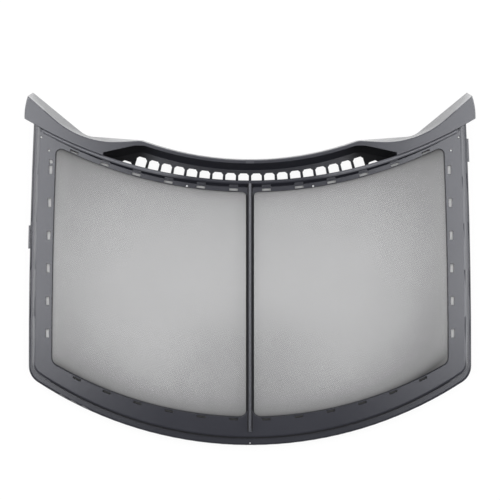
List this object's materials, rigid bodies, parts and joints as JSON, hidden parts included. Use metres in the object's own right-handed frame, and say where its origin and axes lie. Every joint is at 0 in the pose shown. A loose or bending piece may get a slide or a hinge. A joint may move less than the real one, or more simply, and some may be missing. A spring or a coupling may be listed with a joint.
{
  "type": "tumble dryer lint filter",
  "caption": "Flat curved lint filter with a winged handle, an air grille in its finger recess and a hinged front leaf that opens the meshed pocket for cleaning.",
  "frame": {"origin": "middle of the footprint on the rear face, on which the filter lies", "axes": "+X across the width, +Y from the curved bottom edge towards the handle, +Z out of the front face"},
  "size_m": [0.3, 0.239, 0.028],
  "materials": {
    "frame_plastic": "dark grey satin moulded plastic",
    "gauze": "fine pale grey woven polyester gauze"
  },
  "bodies": {
    "rear_leaf": {"rear_frame": "frame_plastic", "rear_mesh": "gauze"},
    "front_leaf": {"front_frame": "frame_plastic", "front_mesh": "gauze"}
  },
  "joints": [
    {"name": "leaf_hinge", "type": "hinge", "parent": "rear_leaf", "child": "front_leaf", "pos_m": [0, -0.1169, 0.012], "axis": [1, 0, 0], "range_deg": [0, 110]}
  ]
}
